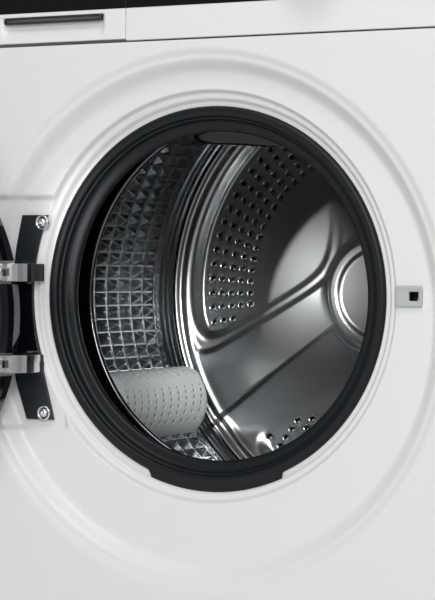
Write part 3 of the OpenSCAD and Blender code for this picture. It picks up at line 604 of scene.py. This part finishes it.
def back_depth(r, angle):
    """How far the back plate lies behind the spokes' level: three petals with unlike sides, a bead round
    the edge and a hub that stands out."""
    inside, share = soft_min(petal(r, angle), 12.0)
    crest = 61 - 0.124 * (r - 63)
    run = np.clip((inside + crest) / crest, 0, 1)
    slope = 3.5 * smoothstep((inside + crest + 1.2) / 2.4) + 10.5 * (1 - (1 - run) ** 1.7)
    wall = 7 * smoothstep((inside + 18) / 6) + 7 * smoothstep((inside + 6) / 6)
    rim = 14 * smoothstep((inside + 9) / 10)
    sink = (share[0] * slope + share[1] * wall + share[2] * rim) * smoothstep((r - 58) / 10)
    bead = -2.5 * np.exp(-((r - 227) / 3.2) ** 2)
    hub = -3.0 * smoothstep((60 - r) / 5) + 3.0 * smoothstep((48 - r) / 4)
    edge = -5.0 * smoothstep((r - 233) / 6)
    return sink + bead + hub + edge


def back_plate():
    """A polar grid of six steps to a hole spacing. A cell that holds a hole becomes a ring from the cell's
    border to the hole's rim and on over a small turned-in lip."""
    steps = 6
    da, dr = np.radians(CELL_TURN) / steps, CELL_OUT / steps
    level = BACK_FACE - 15
    r0 = ROW_ONE - CELL_OUT / 2
    down = int((r0 - 8) / dr)
    up = int((DRUM_R + 0.8 - r0) / dr)
    radii = r0 + dr * np.arange(-down, up + 1)
    first = np.radians(PETAL_AT - CELL_TURN / 2)
    angles = first + da * np.arange(CELLS * steps)

    def place(r, a):
        y = level + back_depth(r, a)
        return np.stack([r * np.cos(a), y, AXIS_Z + r * np.sin(a)], -1)

    r, a = np.meshgrid(radii, angles, indexing="xy")
    points = place(r, a).reshape(-1, 3)
    nr = len(radii)
    faces = grid_faces(len(angles), nr, True)
    cell_a, cell_r = (faces[:, 0] // nr) // steps, (faces[:, 0] % nr - down) // steps
    row_ok = (cell_r >= 0) & (cell_r < 5)
    hole_r = ROW_ONE + CELL_OUT * cell_r
    hole_a = np.radians(PETAL_AT + CELL_TURN * cell_a)
    holes = row_ok & (np.min(petal(hole_r, hole_a), 0) > 4)
    parts = [(points, faces[~holes])]
    # the hub's middle
    hub = place(np.full(len(angles), radii[0]), angles)
    mid = np.broadcast_to([0, hub[0, 1], AXIS_Z], hub.shape)
    parts.append((np.stack([hub, hub * 0.3 + mid * 0.7, mid + 0.001 * (hub - mid)], 1).reshape(-1, 3),
                  grid_faces(len(angles), 3, True)))
    # border of a cell as steps along its four sides
    s = np.arange(steps)
    border = np.concatenate([np.stack([s, 0 * s], 1), np.stack([0 * s + steps, s], 1),
                             np.stack([steps - s, 0 * s + steps], 1), np.stack([0 * s, steps - s], 1)])
    turn = np.arctan2(border[:, 1] - steps / 2, border[:, 0] - steps / 2)
    wanted = np.unique(np.stack([cell_a[holes], cell_r[holes]], 1), axis=0)
    loops = []
    for radius, lip in ((None, 0), (4.1, 0), (3.2, 0.35), (2.75, 1.2), (2.6, 2.4)):
        if radius is None:
            du, dv = border[:, 0] * da, border[:, 1] * dr
            rr = r0 + CELL_OUT * wanted[:, 1:2] + dv
            aa = first + np.radians(CELL_TURN) * wanted[:, :1] + du
        else:
            rc = ROW_ONE + CELL_OUT * wanted[:, 1:2]
            ac = np.radians(PETAL_AT + CELL_TURN * wanted[:, :1])
            rr = rc + radius * np.sin(turn)
            aa = ac + radius * np.cos(turn) / rc
        p = place(rr, aa)
        p[..., 1] += lip
        loops.append(p)
    rings = np.stack(loops, 2)
    n, m, q = rings.shape[:3]
    tile = grid_faces(m, q, True)
    all_faces = (tile[None] + (np.arange(n) * m * q)[:, None, None]).reshape(-1, 4)
    parts.append((rings.reshape(-1, 3), all_faces))
    points, faces = merge(parts)
    plate = piece("drum_back_plate", points, faces, "drum", SATIN, node="drum_back",
                  toward=(0, -5000, AXIS_Z))
    walled(welded(plate, 0.02), 0.6)


drum_wall()
drum_rim()
back_plate()


# ---------------------------------------------------------------- lifters
def lifter(k):
    """A paddle: across its width it is a leaning hump, along its length it rises gently at the front,
    dips a little in the middle and ends in a quarter round, with arcs of dimples on its flanks."""
    low, high = corners(f"lifter_{k + 1}")
    phi = np.radians(SPOKE_AT + 120 * k)
    s = np.linspace(-1, 1, 121)[:, None]
    t = np.linspace(0, 1, 301)[None, :]
    length = high[1] - low[1]
    along = t * length
    y = low[1] + along
    front = smoothstep(along / 70 + 0.04)
    back = np.sqrt(np.clip(1 - np.clip((along - length + 24) / 24, 0, 1) ** 2, 0, 1))
    saddle = 1 - 0.12 * np.sin(np.pi * t) ** 2
    # the ridge leans towards lower angles
    lean = np.where(s < -0.3, (s + 0.3) / 0.7, (s + 0.3) / 1.3)
    across = (1 - np.abs(lean) ** 2.6) ** 0.75
    height = 39.0 * front * back * saddle * across
    side = 37.5 * (0.5 + 0.5 * back) * s
    # dimples in arcs over the flanks
    arc = np.mod(along / 15 + 0.9 * lean**2, 1) - 0.5
    row = np.mod(side / 6.2, 1) - 0.5
    dimple = np.exp(-((arc * 15 / 1.5) ** 2 + (row * 6.2 / 1.5) ** 2) ** 1.5)
    dimple = dimple * (np.abs(s) < 0.86) * (np.abs(lean) > 0.16) * (along > 20) * (along < length - 18)
    r = DRUM_R - 0.8 - height + 2.0 * dimple
    x = r * np.cos(phi) - side * np.sin(phi)
    z = AXIS_Z + r * np.sin(phi) + side * np.cos(phi)
    top = np.stack([x, np.broadcast_to(y, x.shape), z], -1)
    # the dimple depth also goes to the material, where it paints shade into the dimples
    piece(f"lifter_paddle_{k + 1}", top, grid_faces(*x.shape), "drum", PADDLE,
          node=f"lifter_{k + 1}", toward=(0, low[1] + 120, AXIS_Z), thick=1.5,
          pit_shade_mask=np.clip(1.4 * dimple, 0, 1))


for index in range(3):
    lifter(index)


# ---------------------------------------------------------------- spray nozzle and latch
def spray_nozzle():
    """A low bump moulded over the top of the bellows: an ellipsoid laid along the arc, flattened where it
    meets the rubber."""
    u = np.linspace(0, np.pi, 41)[:, None]
    v = np.linspace(0, TAU, 64, endpoint=False)[None, :]
    low, high = corners("spray_nozzle")
    mid, half = (low + high) / 2, (high - low) / 2
    across = np.cos(u) + 0 * v
    ring = np.sin(u) ** 0.7
    x = mid[0] + half[0] * across
    y = mid[1] + half[1] * ring * np.cos(v)
    r = 157 + 21 * ring * np.sin(v)
    z = AXIS_Z + np.sqrt(r**2 - x**2)
    welded(piece("nozzle_bump", np.stack([x, y, z], -1), grid_faces(41, 64, False, True), "tub", GLOSS,
                 node="spray_nozzle"))


def rectangle_loop(x, z, half_x, half_z, corner, steps=5):
    """A rounded rectangle in the XZ plane as x and z, counted from its middle."""
    p = np.array([(-half_x, -half_z), (half_x, -half_z), (half_x, half_z), (-half_x, half_z)], float)
    return rounded(p, corner, steps) + [x, z]


def framed(name, loops, depths, body, material, node=None, closed=True):
    """Rounded rectangles at several depths joined into one ring or tube of quads."""
    rows = np.stack([np.stack([loop[:, 0], np.full(len(loop), depth), loop[:, 1]], -1)
                     for loop, depth in zip(loops, depths)], 1)
    faces = grid_faces(rows.shape[0], rows.shape[1], True, closed)
    return piece(name, rows, faces, body, material, node=node)


def latch():
    """The bezel: a raised frame whose face slopes in to the slot, in grey moulding rather than the white of the
    panel's plastics as painted shade; and a black sheet lining the slot, painted shade for the deep slot.
    """
    low, high = corners("door_lock")
    floor = FACE + DISH_DEPTH
    x, z = (low[0] + high[0] - 2) / 2, LATCH_Z
    sx = 200.0
    outer = [rectangle_loop(x, z, 12.5, 9, 1.6), rectangle_loop(x, z, 12.5, 9, 1.6),
             rectangle_loop(x, z, 11.7, 8.2, 1.4), rectangle_loop(x + 1, z, 10.2, 6.8, 1.2),
             rectangle_loop(sx, z, 5.0, 4.4, 0.8), rectangle_loop(sx, z, 4.45, 3.95, 0.6),
             rectangle_loop(sx, z, 4.45, 3.95, 0.6)]
    # painted shade: the bezel takes the grey moulding where the panel's white plastic would be
    framed("latch_bezel", outer, floor + np.array([0.4, -2.6, -3.6, -3.5, -2.15, -2.1, 0.8]), "cabinet", GREY)
    # painted shade: a black gloss sheet lines the slot to stand in for the shade inside it
    inner = [rectangle_loop(sx, z, 4.4, 3.9, 0.6), rectangle_loop(sx, z, 4.4, 3.9, 0.6),
             rectangle_loop(sx, z, 4.1, 3.6, 0.5), rectangle_loop(sx, z, 4.1, 3.6, 0.5)]
    framed("latch_slot_painted_shade", inner, floor + np.array([0.2, 17.0, 17.0, 0.2]), "cabinet", GLOSS)


spray_nozzle()
latch()


# ---------------------------------------------------------------- screws
def screw(name, x, y, z, radius, body, facing=-1, cup=False):
    """A pan-head screw that faces along Y, with a six-lobed recess; a cup adds the ring it sits in."""
    t = np.array([[0, -0.25], [0.25, -0.25], [0.33, -0.62], [0.42, -0.68], [0.7, -0.6], [0.92, -0.36],
                  [1, -0.12], [1, 0.3]])
    a = np.linspace(0, TAU, 48, endpoint=False)[:, None]
    lobes = 1 + 0.14 * np.cos(6 * a) * np.exp(-((t[None, :, 0] - 0.29) / 0.12) ** 2)
    r = radius * t[:, 0] * lobes
    points = np.stack([x + r * np.cos(a), y - facing * radius * t[:, 1] * np.ones_like(a),
                       z + r * np.sin(a)], -1)
    parts = [(points.reshape(-1, 3), grid_faces(48, len(t), True))]
    if cup:
        ring = np.array([[1.15, 0.25], [1.2, -0.1], [1.45, -0.42], [1.7, -0.3], [1.78, 0.25]])
        cup_points, cup_faces = lathe(np.stack([radius * ring[:, 0], y - facing * radius * ring[:, 1]], 1),
                                      z=z, turns=48, closed=True, x=x)
        parts.append((cup_points, cup_faces))
    points, faces = merge(parts)
    welded(piece(name, points, faces, body, CHROME, toward=(x, y + facing * 5000, z)))


plate_face = corners("hinge_plate")[0][1]
for index, (x, z) in enumerate(((-171, 66), (-168, -109))):
    screw(f"hinge_screw_{index + 1}", x, plate_face, AXIS_Z + z, 4.0, "cabinet", cup=True)
cover_lo, cover_hi = corners("rear_cover")
from_edge = 6
span = cover_hi - cover_lo - 2 * from_edge
for index, (i, j) in enumerate((i, j) for i in (0, 1) for j in (0, 0.33, 0.67, 1)):
    screw(f"cover_screw_{index + 1}", cover_lo[0] + from_edge + i * span[0], cover_lo[1] + 1,
          cover_lo[2] + from_edge + j * span[2], 4.5, "cabinet", facing=1)


# ---------------------------------------------------------------- drawer
def drawer_front():
    """The drawer's face as one sheet: a scoop that is deepest under the grip bar and fades out below it,
    a step back behind the glass band, and edges rolled over into the sides."""
    low, high = corners("drawer_front")
    bar_lo, bar_hi = corners("drawer_handle")
    band = corners("drawer_glass")[0][2]
    near = np.array([0, 0.15, 0.35, 0.7, 1.2])
    x = np.concatenate([low[0] + near, np.linspace(low[0] + 2, high[0] - 2, 171),
                        high[0] - near[::-1]])[:, None]
    z = np.concatenate([low[2] + near, np.linspace(low[2] + 2, band - 0.2, 69),
                        np.linspace(band, high[2], 9)])[None, :]
    sides = smoothstep((x - bar_lo[0] + 4) / 7) * smoothstep((bar_hi[0] + 4 - x) / 7)
    below = smoothstep((z - bar_lo[2] + 17) / 17) * (z < bar_hi[2] + 0.4)
    y = low[1] + 5.5 * sides * below + 1.6 * (z >= band - 0.1)
    edge = np.minimum(np.minimum(x - low[0], high[0] - x), np.minimum(z - low[2], high[2] - z))
    y = y + 0.5 * np.exp(-edge / 0.25) + 6.0 * (edge < 0.01)
    points = np.stack([x + 0 * z, y, z + 0 * x], -1)
    piece("drawer_face", points, grid_faces(x.size, z.size), "drawer", ABS,
          node="drawer_front", toward=(0, -5000, 500), thick=1.4)
    # the grip: a bar with round ends and a crowned front, in dark anthracite as painted shade for the deep slot at
    # the top of the finger scoop
    mid, half = (bar_lo + bar_hi) / 2, (bar_hi - bar_lo) / 2
    loops = [rectangle_loop(mid[0], mid[2], half[0] - inset, half[2] - inset, half[2] - inset - 0.01, 8)
             for inset in (0, 0, 0.35, 1.1, 2.0)]
    grip = framed("drawer_grip_painted_shade", loops, bar_lo[1] + np.array([5.0, 1.0, 0.4, 0.1, 0.0]), "drawer", DARK,
                  node="drawer_handle", closed=False)
    walled(grip, 0.8)


def knob():
    """A turned knob: fine flutes round its side, a rounded shoulder, a shallow dished face and one slot as
    the pointer."""
    low, high = corners("programme_knob")
    x, z = (low[0] + high[0]) / 2, (low[2] + high[2]) / 2
    radius = (high[0] - low[0]) / 2
    a = np.linspace(0, TAU, 360, endpoint=False)[:, None]
    t = np.array([[0, 1.6], [0.4, 1.2], [0.72, 0.7], [0.86, 0.25], [0.91, 0.0], [0.955, 0.25], [0.985, 1.1],
                  [0.995, 3], [0.995, 18], [0.995, 19.5]])
    side = smoothstep((t[None, :, 1] - 1.5) / 2) * (t[None, :, 0] > 0.9)
    r = radius * t[None, :, 0] - 0.55 * side * (0.5 + 0.5 * np.cos(60 * a))
    pointer = np.exp(-((r * np.sin(a - np.pi / 2)) / 1.1) ** 4) * (np.cos(a - np.pi / 2) > 0)
    y = low[1] + t[None, :, 1] + 0.7 * pointer * (t[None, :, 0] > 0.35) * (t[None, :, 0] < 0.9)
    points = np.stack([x + r * np.cos(a), y, z + r * np.sin(a)], -1)
    welded(piece("knob_cap", points, grid_faces(360, len(t), True), "knob", CHROME,
                 node="programme_knob", toward=(x, -5000, z)))


drawer_front()


# ---------------------------------------------------------------- door glass
def turned(points):
    """Points given with the door closed, swung round the hinge to where it stands open."""
    c, w = np.cos(DOOR_OPEN), np.sin(DOOR_OPEN)
    x, y = points[..., 0] - HINGE[0], points[..., 1] - HINGE[1]
    return np.stack([HINGE[0] + c * x + w * y, HINGE[1] - w * x + c * y, points[..., 2]], -1)


def door_glass():
    """The bowl: a rolled flange, a straight wall and a domed bottom, all one smooth turned wall; and the
    outer pane, a disc with ground edges."""
    back = HINGE[1] + 18
    outer = spline([(0, back + 63.6), (50, back + 63.3), (90, back + 61.8), (112, back + 55),
                    (120, back + 44), (134, back + 20), (138, back), (143, back - 5), (151, back - 6)], 60)
    inner = spline([(151, back - 10), (146, back - 9.5), (134, back - 4), (129.5, back + 18),
                    (115.5, back + 42), (108, back + 51), (88, back + 57.4), (50, back + 58.8),
                    (0, back + 59)], 60)
    outer[0, 0] = inner[-1, 0] = 0
    points, faces = lathe(np.vstack([outer, inner]), z=DISH_Z + 4, turns=200, closed=False)
    welded(piece("door_bowl", turned(points), faces, "door", BOWL, node="door_glass"))
    front = back - 32
    pane_outline = [(0, front + 4), (149, front + 4), (151.6, front + 4.7), (152, front + 6),
                    (151.6, front + 7.3), (149, front + 8), (0, front + 8)]
    points, faces = lathe(pane_outline, z=DISH_Z, turns=200, closed=False)
    welded(piece("door_pane", turned(points), faces, "door", BOWL))


door_glass()
knob()


# ---------------------------------------------------------------- springs and hose
def springs():
    """Each tub spring: a helix of ten turns that closes up at both ends."""
    low, high = corners("suspension_springs")
    for name, x in (("left", low[0] + 13), ("right", high[0] - 13)):
        t = np.linspace(0, 1, 481)
        turn = TAU * 10 * t
        rise = smoothstep(t * 0.9 + 0.05)
        rise = (rise - rise[0]) / (rise[-1] - rise[0])
        z = low[2] + 2 + (high[2] - low[2] - 4) * rise
        path = np.stack([x + 11 * np.cos(turn), (low[1] + high[1]) / 2 + 11 * np.sin(turn), z], 1)
        points, faces = tube(path, 1.9, 10)
        points, faces = capped(points, faces, 481, 10)
        coil = piece(f"tub_spring_{name}", points, faces, None, ZINC)
        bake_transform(coil)
        if name == "left":
            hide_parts("suspension_springs")


def bellows_hose():
    """The sump hose: its wall swells and narrows in even ripples."""
    low, high = corners("sump_hose")
    z = np.linspace(low[2], high[2], 121)
    r = 16.3 + 1.5 * np.cos((z - low[2]) / (high[2] - low[2]) * TAU * 7)
    path = np.stack([np.full(121, (low[0] + high[0]) / 2), np.full(121, (low[1] + high[1]) / 2), z], 1)
    points, faces = tube(path, r, 48)
    hose = piece("sump_bellows", points, faces, None, RUBBER,
                 toward=(5000, 0, (low[2] + high[2]) / 2))
    walled(hose, 1.5)
    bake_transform(hose)
    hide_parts("sump_hose")


springs()
bellows_hose()


# ---------------------------------------------------------------- floor, lights and camera
def lamp(name, kind, at, look, power):
    """A light of the given kind at one point that shines towards another, both in metres."""
    data = bpy.data.lights.new(name, kind)
    data.energy = power
    light = bpy.data.objects.new(name, data)
    light.location = at
    light.rotation_euler = (Vector(look) - Vector(at)).to_track_quat("-Z", "Y").to_euler()
    bpy.context.scene.collection.objects.link(light)
    return data


def studio():
    """A pale floor, broad lights in front, above and behind, two lamps into the drum, and an even sky."""
    sides, radius, drop = 96, 9, 0.0005
    a = np.linspace(0, TAU, sides, endpoint=False)
    floor = bpy.data.meshes.new("floor")
    floor.from_pydata([(radius * np.cos(t), radius * np.sin(t), -drop) for t in a], [], [list(range(sides))])
    obj = bpy.data.objects.new("floor", floor)
    bpy.context.scene.collection.objects.link(obj)
    floor.materials.append(surface("studio_floor", "ececec", 0.6)[0])
    bpy.context.scene.view_settings.view_transform = "Standard"
    world = bpy.data.worlds.new("studio")
    bpy.context.scene.world = world
    world.use_nodes = True
    sky = world.node_tree.nodes["Background"]
    sky.inputs["Color"].default_value = (0.95, 0.97, 1.0, 1)
    sky.inputs["Strength"].default_value = 0.2
    for name, at, look, size, power in (
            ("key", (0.9, -2.2, 1.3), (-0.1, 0.0, 0.45), (0.9, 0.9), 22),
            ("above", (0.3, -1.7, 2.9), (0.0, -0.3, 0.5), (1.3, 0.8), 20),
            ("low", (-1.15, -2.3, 0.30), (0.0, 0.1, 0.48), (1.3, 0.5), 3),
            ("top", (0.0, 0.2, 3.2), (0.0, 0.0, 0.5), (2.4, 2.4), 12),
            ("back", (-1.0, 2.8, 1.8), (0.0, 0.3, 0.4), (1.6, 1.6), 26)):
        area = lamp(name, "AREA", at, look, power)
        area.shape, area.size, area.size_y = "RECTANGLE", size[0], size[1]
    # two narrow lamps that shine through the porthole into the drum
    for name, at, look, cone, power in (
            ("drum_left", (-0.18, -2.4, 0.74), (-0.10, FACE * MM + 0.04, 0.530), 2.8, 330),
            ("drum_right", (0.95, -2.35, 0.85), (0.0, FACE * MM + 0.05, 0.465), 5.4, 200)):
        spot = lamp(name, "SPOT", at, look, power)
        spot.shadow_soft_size, spot.spot_size, spot.spot_blend = 0.04, np.radians(cone), 0.5


def camera():
    """A long lens to the right of the machine, level with the drum axis."""
    lens = bpy.data.cameras.new("camera")
    lens.lens, lens.sensor_width, lens.sensor_fit = 136.5, 36, "AUTO"
    lens.shift_x, lens.shift_y = -0.0507, -0.0463
    lens.clip_end = 50
    eye = bpy.data.objects.new("camera", lens)
    heading, tilt, roll = 26.95, 89.95, 0.345
    turn = (Matrix.Rotation(np.radians(heading), 4, "Z") @ Matrix.Rotation(np.radians(tilt), 4, "X")
            @ Matrix.Rotation(np.radians(roll), 4, "Z"))
    eye.matrix_world = Matrix.Translation((0.9459, (FACE - 1762.0) * MM, (AXIS_Z + 23.3) * MM)) @ turn
    bpy.context.scene.collection.objects.link(eye)
    bpy.context.scene.camera = eye


studio()
camera()
